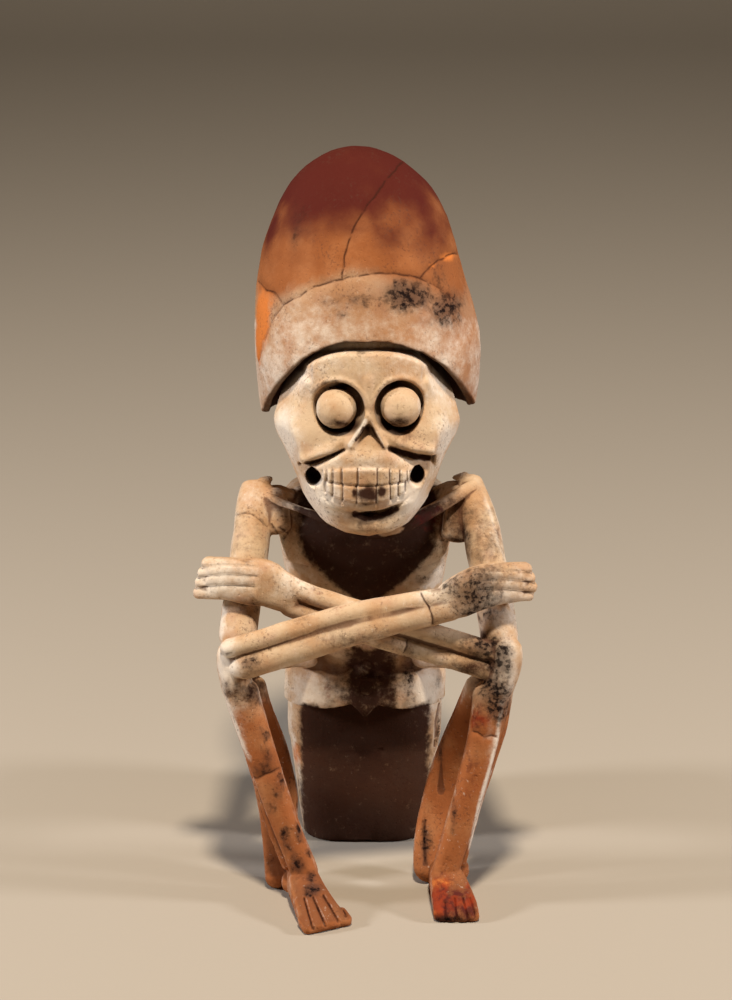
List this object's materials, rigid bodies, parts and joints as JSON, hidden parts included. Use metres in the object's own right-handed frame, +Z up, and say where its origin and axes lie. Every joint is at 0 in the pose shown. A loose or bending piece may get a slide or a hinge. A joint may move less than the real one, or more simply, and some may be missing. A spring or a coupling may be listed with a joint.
{
  "type": "seated death god figure",
  "caption": "Fired clay figure of a seated skeleton in a tall domed cap, arms crossed over raised knees, made in one piece with the block it sits on; stands on its feet and seat.",
  "frame": {"origin": "middle of the bounding box at the level of the soles and the underside of the seat", "axes": "+Z up, the figure faces -Y, +X is its own left and the viewer's right"},
  "size_m": [0.1546, 0.159, 0.337],
  "materials": {
    "fired_clay": "unglazed fired clay, orange tan with a pale bloom, black tar spots, glued cracks and red paint left on one foot"
  },
  "bodies": {
    "root": {"figure": "fired_clay"}
  },
  "joints": []
}
